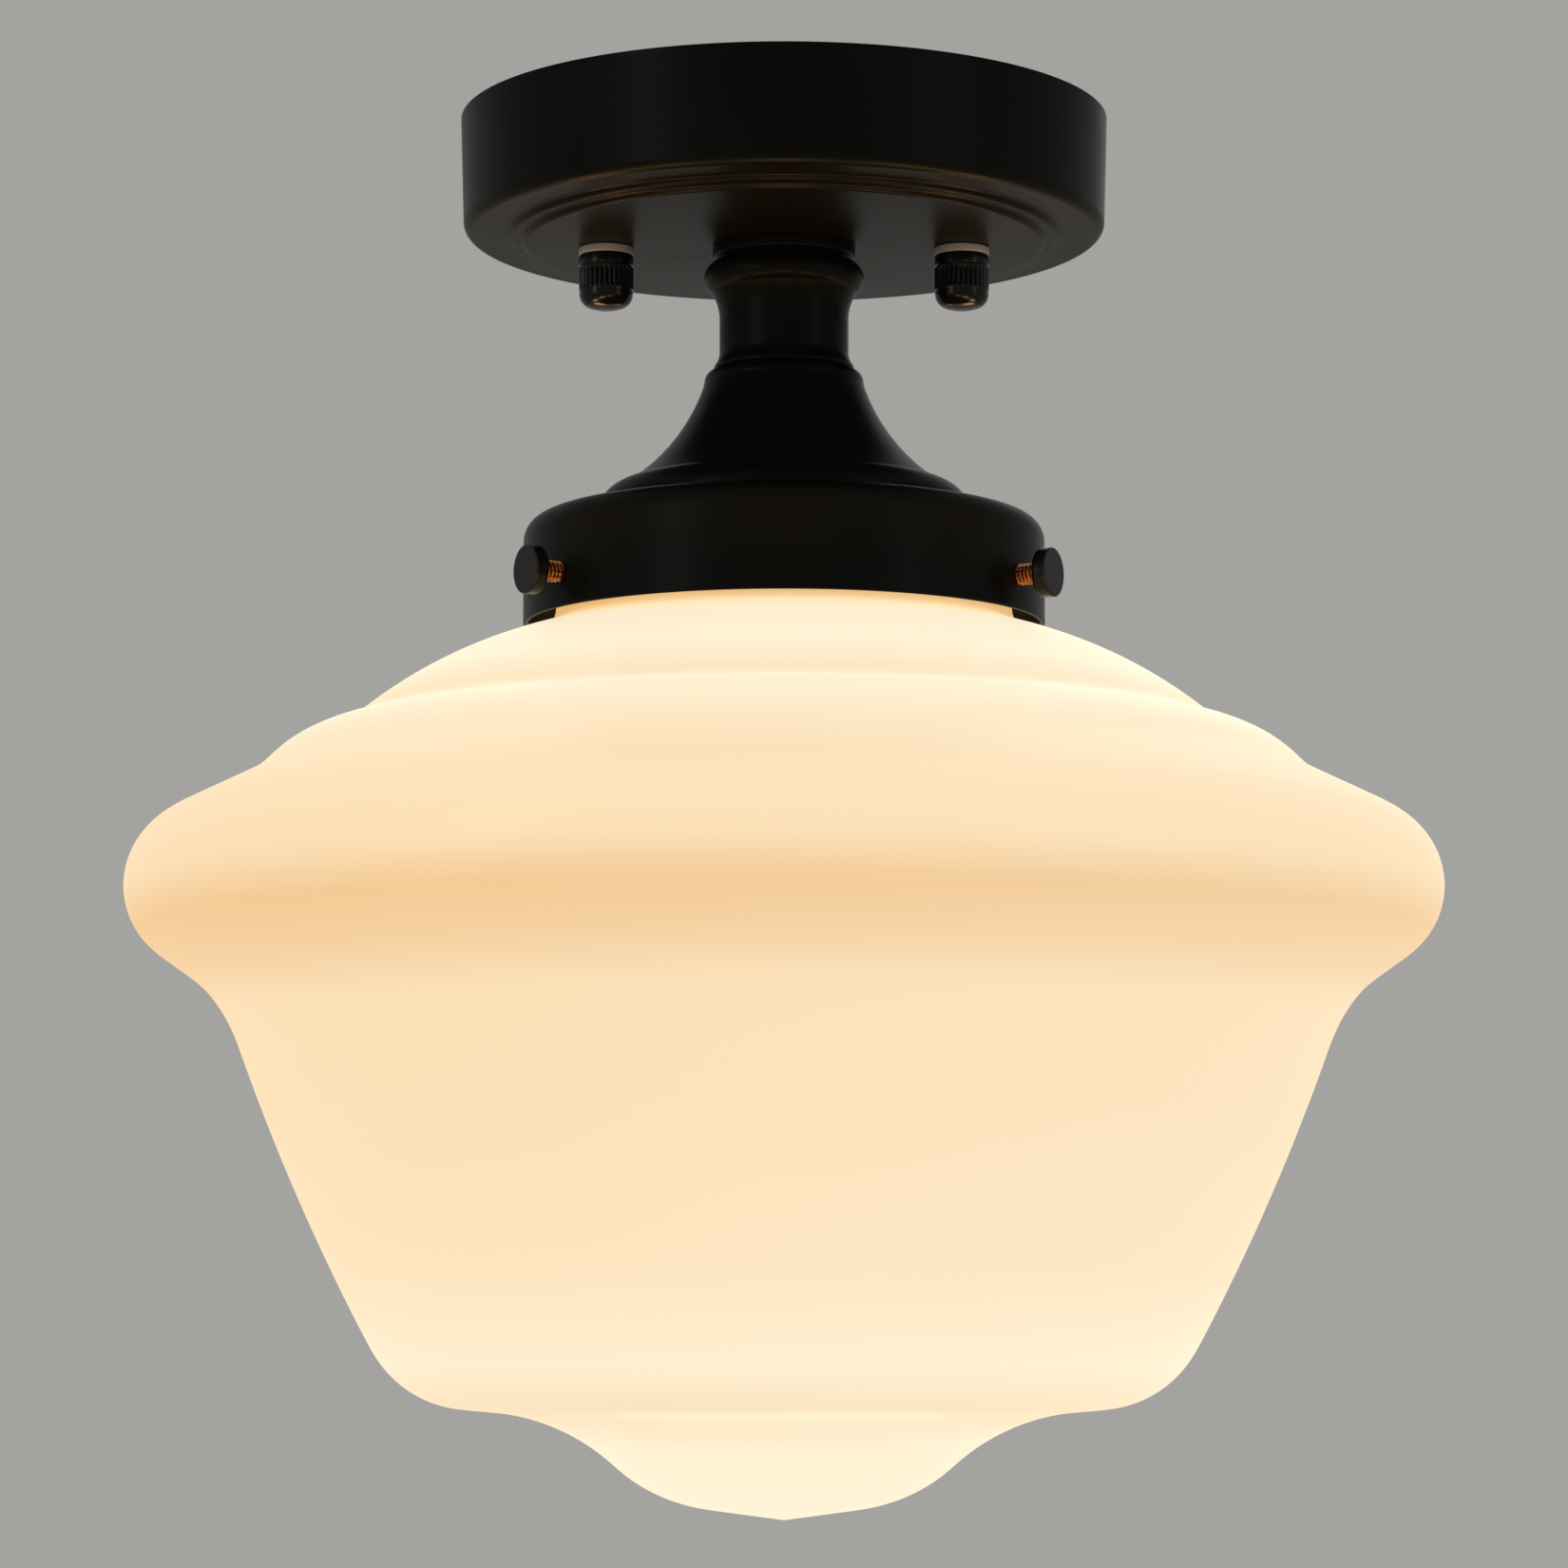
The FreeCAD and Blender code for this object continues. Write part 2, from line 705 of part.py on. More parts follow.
def socket_contact():
    """Sprung brass tongue, arched down towards the bulb."""
    half = spring_length / 2
    z = socket_floor
    arch = Part.Face(Part.makePolygon([
        at(-half, z), at(half, z), at(half, z - spring_sheet), at(half / 2, z - spring_sheet),
        at(half / 4, z - spring_sheet - spring_rise), at(-half / 4, z - spring_sheet - spring_rise),
        at(-half / 2, z - spring_sheet), at(-half, z - spring_sheet), at(-half, z)]))
    arch.translate(FreeCAD.Vector(0, -spring_width / 2, 0))
    return arch.extrude(FreeCAD.Vector(0, spring_width, 0))


def socket_terminal_screws():
    """Two wire screws on top of the holder, one for each lead."""
    screws = []
    for side in (1, -1):
        y = side * terminal_y
        head = rod(terminal_head_r, socket_top, socket_top + terminal_head, 0, y)
        slot = block(2 * terminal_head_r, terminal_head_r / 4, socket_top + terminal_head / 2,
                     socket_top + terminal_head, 0, y)
        shank = rod(clamp_screw_r, socket_top - terminal_shank, socket_top, 0, y)
        screws.append(head.cut(slot).fuse(shank).removeSplitter())
    return Part.makeCompound(screws)


def socket_mount_screws():
    """Two screws from below, through the flange into the bracket's feet."""
    flange_low = socket_top - holder_flange

    def screw(x):
        head = slotted_head(holder_screw_head_r, flange_low - holder_screw_head, flange_low, x)
        return head.fuse(rod(holder_screw_r, flange_low, socket_top + bracket_sheet, x)).removeSplitter()

    return pair(screw, holder_screw_x)


# Bulb

def bulb_contact():
    low = eyelet_top - bulb_eyelet
    return turned((0, eyelet_top), ((bulb_eyelet_r * 0.6, eyelet_top),), ((bulb_eyelet_r, low),), ((0, low),))


def bulb_foot():
    """Black glass between the eyelet and the cap."""
    high = eyelet_top - bulb_eyelet
    low = high - bulb_insulator
    return turned((0, high), ((bulb_eyelet_r, high),), ((bulb_insulator_r, low),), ((0, low),))


def bulb_cap():
    """Screw cap drawn from thin sheet, flared a little where it grips the glass."""
    high = eyelet_top - bulb_eyelet - bulb_insulator
    shoulder = high - (bulb_cap_r - bulb_insulator_r) / 2
    low = high - bulb_cap_height
    outline = path((0, high),
                   ((bulb_insulator_r, high),),
                   ((bulb_cap_r, shoulder),),
                   ((bulb_cap_r, low + bulb_skirt),),
                   ((bulb_cap_r + 0.8, low + bulb_skirt / 2),),
                   ((bulb_cap_r + 0.8, low),))
    return spun(outline, bulb_cap_sheet)


def bulb_envelope():
    """Blown bulb: its neck stands inside the cap, widens as a cone and ends in a round globe."""
    cap_low = eyelet_top - bulb_eyelet - bulb_insulator - bulb_cap_height
    tip_z = eyelet_top - bulb_length
    globe_z = tip_z + bulb_r

    def blank(inset):
        neck_r = bulb_cap_r - bulb_cap_sheet - slip_gap / 2 - inset
        radius = bulb_r - inset
        return turned((0, cap_low + bulb_skirt),
                      ((neck_r, cap_low + bulb_skirt),),
                      ((neck_r, cap_low),),
                      *round_by_lines((0, globe_z), radius, 28, -90, 8))

    return blank(0).cut(blank(bulb_glass))


# Leads

def swept(points_and_bends):
    """A round lead along straight runs and tangent arcs, given as edges."""
    wire = Part.Wire(points_and_bends)
    start = wire.OrderedVertexes[0].Point
    first = wire.OrderedEdges[0]
    heading = first.tangentAt(first.FirstParameter)
    section = Part.Wire([Part.makeCircle(lead_r, start, heading)])
    return wire.makePipeShell([section], True, False)


def arc(start, through, end):
    return Part.Arc(FreeCAD.Vector(*start), FreeCAD.Vector(*through), FreeCAD.Vector(*end)).toShape()


def run(start, end):
    return Part.LineSegment(FreeCAD.Vector(*start), FreeCAD.Vector(*end)).toShape()


def circuit_lead(side):
    """From a socket terminal up through the lamp pipe and over to an outer pole of the terminal block."""
    y0 = side * lead_spread
    bend = lead_foot_bend
    drop_z = socket_top + lead_r + lead_end_gap
    foot_y = side * (lead_spread + bend)
    terminal_edge = side * (terminal_y - terminal_head_r - lead_end_gap)
    lean = bend * (1 - math.sqrt(0.5))

    reach_x = block_near_x
    reach_y = side * pole_pitch - y0
    sweep_r = math.hypot(reach_x, reach_y)
    part = 1 - math.sqrt(0.5)
    rise_z = pole_z - sweep_r
    mid = (reach_x * part, y0 + reach_y * part, rise_z + sweep_r * math.sqrt(0.5))
    end = (reach_x, side * pole_pitch, pole_z)
    plug = lead_plug_in / sweep_r
    inside = (reach_x * (1 + plug), side * pole_pitch + reach_y * plug, pole_z)
    return swept([
        run((0, terminal_edge, drop_z), (0, foot_y, drop_z)),
        arc((0, foot_y, drop_z), (0, y0 + side * lean, drop_z + lean), (0, y0, drop_z + bend)),
        run((0, y0, drop_z + bend), (0, y0, rise_z)),
        arc((0, y0, rise_z), mid, end),
        run(end, inside),
    ])


def earth_lead():
    """From the ring terminal on the crossbar down to the middle pole of the terminal block."""
    high = tag_barrel_z()
    drop = high - pole_z
    start_x = tag_mouth_x() + tag_barrel_length / 2
    bend_x = tag_mouth_x() - lead_r
    fall = 2.2 * drop
    mid_x = bend_x - fall / 2
    end_x = bend_x - fall
    sweep_r = (fall ** 2 + drop ** 2) / (4 * drop)
    half_turn = math.asin(fall / (2 * sweep_r)) / 2
    side = sweep_r * math.sin(half_turn)
    dip = sweep_r * (1 - math.cos(half_turn))
    return swept([
        run((start_x, 0, high), (bend_x, 0, high)),
        arc((bend_x, 0, high), (bend_x - side, 0, high - dip), (mid_x, 0, high - drop / 2)),
        arc((mid_x, 0, high - drop / 2), (end_x + side, 0, pole_z + dip), (end_x, 0, pole_z)),
        run((end_x, 0, pole_z), (block_near_x - lead_plug_in, 0, pole_z)),
    ])


def pieces():
    """Every node of the light by name."""
    nodes = {
        "crossbar": crossbar(),
        "mounting_studs": mounting_studs(),
        "stud_lock_nuts": stud_lock_nuts(),
        "earth_screw": earth_screw(),
        "earth_tag": earth_tag(),
        "terminal_block": terminal_block(),
        "terminal_sleeves": terminal_sleeves(),
        "clamp_screws": clamp_screws(),
        "block_screws": block_screws(),
        "canopy": canopy(),
        "threaded_tube": threaded_tube(),
        "tube_top_nut": pipe_nut(plate_floor + pipe_washer + pipe_nut_height),
        "tube_top_lock_washer": pipe_lock_washer(plate_floor + pipe_washer),
        "neck_spool": neck_spool(),
        "bell_cover": bell_cover(),
        "fitter": fitter(),
        "fitter_lock_washer": pipe_lock_washer(bracket_low),
        "fitter_nut": pipe_nut(bracket_low - pipe_washer),
        "socket_bracket": socket_bracket(),
        "socket_body": socket_body(),
        "socket_shell": socket_shell(),
        "socket_contact": socket_contact(),
        "socket_terminal_screws": socket_terminal_screws(),
        "socket_mount_screws": socket_mount_screws(),
        "live_lead": circuit_lead(-1),
        "neutral_lead": circuit_lead(1),
        "earth_lead": earth_lead(),
        "shade": shade(),
        "bulb_contact": bulb_contact(),
        "bulb_foot": bulb_foot(),
        "bulb_cap": bulb_cap(),
        "bulb_envelope": bulb_envelope(),
    }
    for side, x in (("left", -stud_spacing / 2), ("right", stud_spacing / 2)):
        nodes["nut_washer_" + side] = nut_washer(x)
        nodes["cap_nut_" + side] = cap_nut(x)
    for place, angle in screw_angles().items():
        nodes["screw_shank_" + place] = screw_shank(angle)
        nodes["screw_head_" + place] = screw_head(angle)
    return nodes


os.makedirs("parts", exist_ok=True)
for name, shape in pieces().items():
    shape.exportStep("parts/" + name + ".step")
    print(name, shape.ShapeType, len(shape.Solids), shape.isValid(), round(shape.Volume, 1))
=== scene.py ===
import math

import bpy
from mathutils import Matrix, Vector


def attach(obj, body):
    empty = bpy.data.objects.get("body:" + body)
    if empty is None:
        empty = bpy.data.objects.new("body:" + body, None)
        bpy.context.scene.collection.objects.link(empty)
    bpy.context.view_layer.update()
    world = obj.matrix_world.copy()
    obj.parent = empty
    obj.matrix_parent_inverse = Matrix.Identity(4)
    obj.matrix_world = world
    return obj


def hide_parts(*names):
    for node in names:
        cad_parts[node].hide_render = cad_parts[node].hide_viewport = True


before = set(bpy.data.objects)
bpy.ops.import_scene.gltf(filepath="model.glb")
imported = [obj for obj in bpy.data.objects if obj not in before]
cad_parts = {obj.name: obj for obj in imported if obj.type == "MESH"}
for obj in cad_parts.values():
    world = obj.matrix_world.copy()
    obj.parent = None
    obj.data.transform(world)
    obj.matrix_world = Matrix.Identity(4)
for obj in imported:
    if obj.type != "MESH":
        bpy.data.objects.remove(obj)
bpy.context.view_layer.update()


# Camera, lamps and room. The light is seen from just under a metre away, a little from below, with soft
# lamps on both sides and behind. The floor is plain and pale, and the backdrop a plain light grey.

image_pixels = 1650
focal_pixels = 5200
camera_tilt = 6.3            # degrees above level
lens = bpy.data.cameras.new("camera")
lens.sensor_width = 36.0
lens.lens = lens.sensor_width * focal_pixels / image_pixels
lens.clip_start = 0.01
camera = bpy.data.objects.new("camera", lens)
camera.location = (0, -0.954, -0.2361)
camera.rotation_euler = (math.radians(90 + camera_tilt), 0, 0)
bpy.context.scene.collection.objects.link(camera)
bpy.context.scene.camera = camera
bpy.context.scene.view_settings.view_transform = "Standard"


class Tone:
    """The value of one shader socket, with the arithmetic that finishes need."""

    def __init__(self, finish, socket):
        self.finish = finish
        self.socket = socket

    def _math(self, operation, first, second):
        return self.finish.node("ShaderNodeMath", {"operation": operation}, [first, second])

    def __add__(self, other):
        return self._math("ADD", self, other)

    def __radd__(self, other):
        return self._math("ADD", other, self)

    def __sub__(self, other):
        return self._math("SUBTRACT", self, other)

    def __rsub__(self, other):
        return self._math("SUBTRACT", other, self)

    def __mul__(self, other):
        return self._math("MULTIPLY", self, other)

    def __rmul__(self, other):
        return self._math("MULTIPLY", other, self)

    def __truediv__(self, other):
        return self._math("DIVIDE", self, other)

    def __rtruediv__(self, other):
        return self._math("DIVIDE", other, self)


class Finish:
    """A surface finish: a material and the nodes behind its shader."""

    def __init__(self, name, tree=None):
        if tree is None:
            self.material = bpy.data.materials.new(name)
            self.material.use_nodes = True
            tree = self.material.node_tree
        self.tree = tree
        self.shader = tree.nodes.get("Principled BSDF")

    def node(self, kind, settings=None, inputs=(), output=0):
        made = self.tree.nodes.new(kind)
        for key, value in (settings or {}).items():
            if key == "stops":
                self._set_stops(made.color_ramp, value)
            else:
                setattr(made, key, value)
        pairs = inputs.items() if isinstance(inputs, dict) else enumerate(inputs)
        for key, value in pairs:
            self.join(value, made.inputs[key])
        return Tone(self, made.outputs[output])

    def _set_stops(self, ramp, stops):
        while len(ramp.elements) < len(stops):
            ramp.elements.new(1.0)
        for element, (position, colour) in zip(ramp.elements, stops):
            element.position = position
            element.color = (*colour, 1.0)

    def join(self, value, socket):
        if isinstance(value, Tone):
            self.tree.links.new(value.socket, socket)
        elif socket.type == "RGBA" and len(value) == 3:
            socket.default_value = (*value, 1.0)
        else:
            socket.default_value = value

    def wear(self, **sockets):
        """Sets the shader's sockets, such as Base_Color, to constants or to tones."""
        for name, value in sockets.items():
            self.join(value, self.shader.inputs[name.replace("_", " ")])
        return self

    def noise(self, scale, detail=2.0, stretch=(1, 1, 1)):
        """A cloudy value from 0 to 1, fixed to the piece, with so many clouds to the metre."""
        place = self.node("ShaderNodeTexCoord", output="Object")
        place = self.node("ShaderNodeMapping", {}, {"Vector": place, "Scale": stretch})
        return self.node("ShaderNodeTexNoise", {}, {"Vector": place, "Scale": scale, "Detail": detail})

    def blend(self, factor, first, second):
        """The colour between two colours. Sockets 6 and 7 of the node are its colour inputs."""
        return self.node("ShaderNodeMix", {"data_type": "RGBA"}, {0: factor, 6: first, 7: second}, output=2)

    def bump(self, height, distance):
        return self.node("ShaderNodeBump", {}, {"Height": height, "Distance": distance})

    def on(self, piece):
        """Covers the whole piece with this finish."""
        piece.data.materials.clear()
        piece.data.materials.append(self.material)
        piece.data.polygons.foreach_set("material_index", [0] * len(piece.data.polygons))
        return piece


def soft_lamp(name, width, height, power, place, target, colour=(1, 1, 1)):
    """A soft box that looks at a point of the object."""
    light = bpy.data.lights.new(name, "AREA")
    light.shape = "RECTANGLE"
    light.size = width
    light.size_y = height
    light.energy = power
    light.color = colour
    lamp = bpy.data.objects.new(name, light)
    lamp.location = place
    lamp.rotation_euler = (Vector(target) - Vector(place)).to_track_quat("-Z", "Y").to_euler()
    bpy.context.scene.collection.objects.link(lamp)


object_middle = (0, 0, -0.13)
soft_lamp("left_soft_box", 0.5, 1.6, 6.0, (-1.7, -1.5, 0.2), object_middle)
soft_lamp("right_soft_box", 0.5, 1.6, 3.0, (1.9, -1.3, 0.1), object_middle)
soft_lamp("rear_soft_box", 1.5, 1.0, 1.2, (0.3, 1.9, 0.7), object_middle)

world = bpy.data.worlds.new("studio")
bpy.context.scene.world = world
world.use_nodes = True
air = Finish("studio", world.node_tree)
wall_colour = (0.37, 0.367, 0.355)
fill_strength = 0.42
direct = air.node("ShaderNodeLightPath", output="Is Camera Ray")
for ray in ("Is Glossy Ray", "Is Transmission Ray"):
    direct = direct + air.node("ShaderNodeLightPath", output=ray)
backdrop = air.node("ShaderNodeBackground", {}, {"Color": wall_colour, "Strength": 1.0})
fill = air.node("ShaderNodeBackground", {}, {"Color": (1, 1, 1), "Strength": fill_strength})
seen = air.node("ShaderNodeMixShader", {}, [direct, fill, backdrop])
air.join(seen, world.node_tree.nodes["World Output"].inputs["Surface"])

floor_depth = 1.9
floor_half = 2.5
floor_mesh = bpy.data.meshes.new("floor")
floor_corners = [(x * floor_half, y * floor_half, -floor_depth)
                 for x, y in ((-1, -1), (1, -1), (1, 1), (-1, 1))]
floor_mesh.from_pydata(floor_corners, [], [(0, 1, 2, 3)])
floor = bpy.data.objects.new("floor", floor_mesh)
bpy.context.scene.collection.objects.link(floor)
pale_floor = Finish("pale_floor")
grain = pale_floor.noise(40.0, 3.0)
pale_floor.wear(Base_Color=pale_floor.blend(grain, (0.64, 0.635, 0.62), (0.68, 0.675, 0.66)), Roughness=0.8)
pale_floor.on(floor)


# Ceiling plate: a shallow pan pressed from sheet steel, with a slightly tapered wall, a rolled corner and
# a double step round its underside. Satin black enamel covers it. Two holes let the studs through.

MM = 0.001


def contour(start, *moves, step=5.0):
    """Points along an outline, in millimetres. A move is one point for a line, or a point passed
    and an end point for an arc, which gets a point about every so many degrees."""
    points = [start]
    for move in moves:
        if len(move) == 2 and isinstance(move[0], tuple):
            points += arc_points(points[-1], move[0], move[1], step)
        else:
            points.append(move)
    return points


def arc_points(start, through, end, step):
    """Points along the arc through three points, without the first."""
    ax, az = start
    bx, bz = through
    cx, cz = end
    d = 2 * (ax * (bz - cz) + bx * (cz - az) + cx * (az - bz))
    a2, b2, c2 = ax * ax + az * az, bx * bx + bz * bz, cx * cx + cz * cz
    ox = (a2 * (bz - cz) + b2 * (cz - az) + c2 * (az - bz)) / d
    oz = (a2 * (cx - bx) + b2 * (ax - cx) + c2 * (bx - ax)) / d
    radius = math.hypot(ax - ox, az - oz)
    first = math.atan2(az - oz, ax - ox)
    sweep = (math.atan2(cz - oz, cx - ox) - first) % (2 * math.pi)
    middle = (math.atan2(bz - oz, bx - ox) - first) % (2 * math.pi)
    if middle > sweep:
        sweep -= 2 * math.pi
    count = max(2, round(abs(math.degrees(sweep)) / step))
    turns = [first + sweep * i / count for i in range(1, count)]
    return [(ox + radius * math.cos(a), oz + radius * math.sin(a)) for a in turns] + [end]


def softened(points, reach):
    """Rounds every sharp corner of an outline, starting and ending at most the given distance from it."""
    smooth_bend = math.radians(12)
    nearest = 1e-6
    share = 0.45
    steps = 4
    rounded = [points[0]]
    for before, corner, after in zip(points, points[1:], points[2:]):
        into = Vector(corner) - Vector(before)
        out = Vector(after) - Vector(corner)
        if into.length < nearest or out.length < nearest or into.angle(out) < smooth_bend:
            rounded.append(corner)
            continue
        start = Vector(corner) - into.normalized() * min(reach, into.length * share)
        end = Vector(corner) + out.normalized() * min(reach, out.length * share)
        for i in range(steps + 1):
            t = i / steps
            rounded.append(tuple(start * (1 - t) ** 2 + Vector(corner) * 2 * t * (1 - t) + end * t * t))
    rounded.append(points[-1])
    return rounded


def turned(name, outline, sides=128, ripple=None, place=None):
    """A closed turned solid from an outline of (radius, height) in millimetres round the Z axis.
    ripple may change a point's radius by its height and angle; place is a matrix in metres."""
    vertices = []
    rings = []
    on_axis = 1e-6
    for radius, height in outline:
        if radius < on_axis:
            rings.append([len(vertices)])
            vertices.append((0, 0, height * MM))
            continue
        rings.append(list(range(len(vertices), len(vertices) + sides)))
        for side in range(sides):
            angle = 2 * math.pi * side / sides
            r = ripple(radius, height, angle) if ripple else radius
            vertices.append((r * MM * math.cos(angle), r * MM * math.sin(angle), height * MM))
    faces = []
    loops = zip(rings, rings[1:] + rings[:1])
    for first, second in loops:
        if len(first) == 1 and len(second) == 1:
            continue
        for side in range(sides):
            corner = [first[side % len(first)], first[(side + 1) % len(first)],
                      second[(side + 1) % len(second)], second[side % len(second)]]
            faces.append(list(dict.fromkeys(corner)))
    mesh = bpy.data.meshes.new(name)
    mesh.from_pydata(vertices, [], faces)
    if place:
        mesh.transform(place)
    return finished_mesh(name, mesh)


def finished_mesh(name, mesh):
    """Makes an object of a mesh, with its faces turned outwards and shaded smoothly between sharp edges."""
    piece = bpy.data.objects.new(name, mesh)
    bpy.context.scene.collection.objects.link(piece)
    bpy.context.view_layer.objects.active = piece
    piece.select_set(True)
    bpy.ops.object.mode_set(mode="EDIT")
    bpy.ops.mesh.select_all(action="SELECT")
    bpy.ops.mesh.normals_make_consistent(inside=False)
    bpy.ops.object.mode_set(mode="OBJECT")
    piece.select_set(False)
    mesh.shade_smooth()
    mesh.set_sharp_from_angle(angle=math.radians(50))
    return piece


def drilled(piece, *holes):
    """Cuts the given solids out of a piece and removes them."""
    for hole in holes:
        cut = piece.modifiers.new("hole", "BOOLEAN")
        cut.operation = "DIFFERENCE"
        cut.solver = "EXACT"
        cut.object = hole
    shown = piece.evaluated_get(bpy.context.evaluated_depsgraph_get())
    mesh = bpy.data.meshes.new_from_object(shown)
    piece.modifiers.clear()
    piece.data = mesh
    for hole in holes:
        bpy.data.objects.remove(hole)
    mesh.shade_smooth()
    mesh.set_sharp_from_angle(angle=math.radians(40))
    return piece


def drill(radius, low, high, place):
    """A solid to cut a round hole with, made along Z in millimetres and then placed."""
    outline = [(0, low), (radius, low), (radius, high), (0, high)]
    return turned("drill", outline, 48, place=place)


def settle(piece, finish, body, slot, *nodes):
    """Gives a piece its finish and the body it moves with, and hides the nodes it stands for. Its material
    slot is not used.
    """
    finish.on(piece)
    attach(piece, body)
    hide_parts(*nodes)
    return piece


enamel = Finish("black_enamel")
cloud = enamel.noise(38.0, 3.0)
speck = enamel.noise(1500.0, 2.0)
enamel.wear(
    Base_Color=enamel.blend(cloud, (0.0030, 0.0033, 0.0024), (0.0046, 0.0047, 0.0036)),
    Roughness=cloud * 0.08 + 0.30,
    Specular_IOR_Level=0.045,
    Normal=enamel.bump(speck, 0.000012),
)

stud_spacing = 69.85
stud_hole_r = 2.55
canopy_outer = contour((63.5, 0), (62.9, -20.4), ((62.25, -22.0), (60.7, -22.6)), (54.3, -22.6),
                       (53.6, -23.7), (51.6, -23.7), (50.8, -24.8), (5.3, -24.8))
canopy_inner = contour((5.3, -23.8), (50.0, -23.8), (50.8, -22.7), (52.8, -22.7), (53.5, -21.6),
                       (60.4, -21.6), ((61.5, -21.1), (61.9, -20.0)), (62.5, 0))
canopy = turned("canopy_shell", softened(canopy_outer, 0.45) + softened(canopy_inner, 0.3), 192)
stud_places = [Matrix.Translation((side * stud_spacing / 2 * MM, 0, 0)) for side in (-1, 1)]
drilled(canopy, *[drill(stud_hole_r, -26, -22, place) for place in stud_places])
settle(canopy, enamel, "light", "black_metal", "canopy")


# Cap nuts and washers: two turned brass nuts, enamelled black, hold the plate up on its studs. Each has a
# smooth collar, a knurled band for the fingers and a polished domed end, and sits on a white nylon washer.

enamel_gloss = Finish("black_enamel_polished")
gloss_cloud = enamel_gloss.noise(60.0, 2.0)
enamel_gloss.wear(
    Base_Color=enamel_gloss.blend(gloss_cloud, (0.0034, 0.0034, 0.0028), (0.0052, 0.0050, 0.0042)),
    Roughness=gloss_cloud * 0.06 + 0.15,
    Specular_IOR_Level=0.16,
)

# The white nylon is coloured a dim grey: painted shade of the plate over the washers.
shaded_nylon = Finish("shaded_nylon")
nylon_cloud = shaded_nylon.noise(300.0, 3.0)
shaded_nylon.wear(
    Base_Color=shaded_nylon.blend(nylon_cloud, (0.20, 0.20, 0.195), (0.27, 0.267, 0.26)),
    Roughness=nylon_cloud * 0.15 + 0.42,
    Subsurface_Weight=0.1,
    Subsurface_Radius=(0.001, 0.001, 0.001),
    Normal=shaded_nylon.bump(nylon_cloud, 0.00002),
)

nut_r = 5.35
nut_bore_r = 2.14
nut_seat = -26.4
knurl_top = -28.9
knurl_low = -33.3
flutes = 32
flute_depth = 0.34


def knurled(radius, height, angle):
    """Rounded flutes down the grip, which run out at its two ends."""
    if not knurl_low < height < knurl_top or radius < nut_r - 0.2:
        return radius
    groove = (0.5 - 0.5 * math.cos(flutes * angle)) ** 2
    return radius - flute_depth * groove


nut_outer = contour((nut_bore_r, nut_seat), (5.1, nut_seat), (nut_r, nut_seat - 0.25), (nut_r, -28.45),
                    (5.1, -28.6), (5.1, -28.8), (nut_r, knurl_top))
grip_steps = 10
nut_grip = [(nut_r, knurl_top + (knurl_low - knurl_top) * i / grip_steps) for i in range(1, grip_steps + 1)]
nut_end = contour((5.28, -33.45), (5.28, -34.05), ((4.75, -35.7), (3.3, -36.72)),
                  ((1.65, -37.12), (0, -37.2)))
nut_hole = [(0, -34.3), (1.9, -34.0), (nut_bore_r, -33.6)]
washer_bore_r = 2.33
washer_r = 5.4
washer_top = -24.82
washer_low = nut_seat + 0.02
washer_corners = [(washer_bore_r, washer_top), (washer_r, washer_top), (washer_r, washer_low),
                  (washer_bore_r, washer_low)]
washer_outline = softened(washer_corners + washer_corners[:1], 0.3)[:-1]
for side, place in zip(("left", "right"), stud_places):
    nut = turned("knurled_nut_" + side, softened(nut_outer, 0.12) + nut_grip + nut_end + nut_hole, 192,
                 knurled, place)
    settle(nut, enamel_gloss, side + "_nut", "black_metal", "cap_nut_" + side)
    washer = turned("washer_" + side, washer_outline, 64, place=place)
    settle(washer, shaded_nylon, side + "_washer", "white_nylon", "nut_washer_" + side)


# Crossbar, studs and earthing: a zinc plated steel bar is screwed to the ceiling box. It carries two rolled
# studs with lock nuts for the plate, and the green earth screw that clamps a ring terminal.

zinc = Finish("zinc_plate")
zinc_cloud = zinc.noise(120.0, 4.0)
zinc_streak = zinc.noise(90.0, 2.0, (0.15, 6.0, 6.0))
zinc.wear(
    Base_Color=zinc.blend(zinc_cloud, (0.50, 0.51, 0.50), (0.68, 0.68, 0.66)),
    Metallic=1.0,
    Roughness=zinc_streak * 0.25 + 0.24,
    Normal=zinc.bump(zinc_streak, 0.00002),
)
green_pass = Finish("green_passivate")
green_cloud = green_pass.noise(400.0, 2.0)
green_pass.wear(
    Base_Color=green_pass.blend(green_cloud, (0.03, 0.16, 0.05), (0.06, 0.26, 0.09)),
    Metallic=0.7,
    Roughness=green_cloud * 0.2 + 0.3,
)


def helix(outer, pitch, depth):
    """A right-handed thread cut into the parts of an outline that lie at the outer radius, with its crest
    and its root flat for a sixth of the pitch each."""
    def cut(radius, height, angle):
        if radius < outer - 0.001:
            return radius
        phase = (height / pitch - angle / (2 * math.pi)) % 1.0
        return radius - depth * min(1.0, max(0.0, abs(2 * phase - 1) * 1.5 - 0.25))
    return cut


def threaded_outline(radius, low, high, pitch, bore=0.0, per_pitch=6):
    """A rod or tube outline with enough points along it for its thread, and chamfered ends."""
    chamfer = pitch * 0.6
    count = round((high - low - 2 * chamfer) / pitch * per_pitch)
    first = low + chamfer
    step = (high - low - 2 * chamfer) / count
    side = [(radius, first + i * step) for i in range(count + 1)]
    return [(bore, low), (radius - chamfer, low)] + side + [(radius - chamfer, high), (bore, high)]


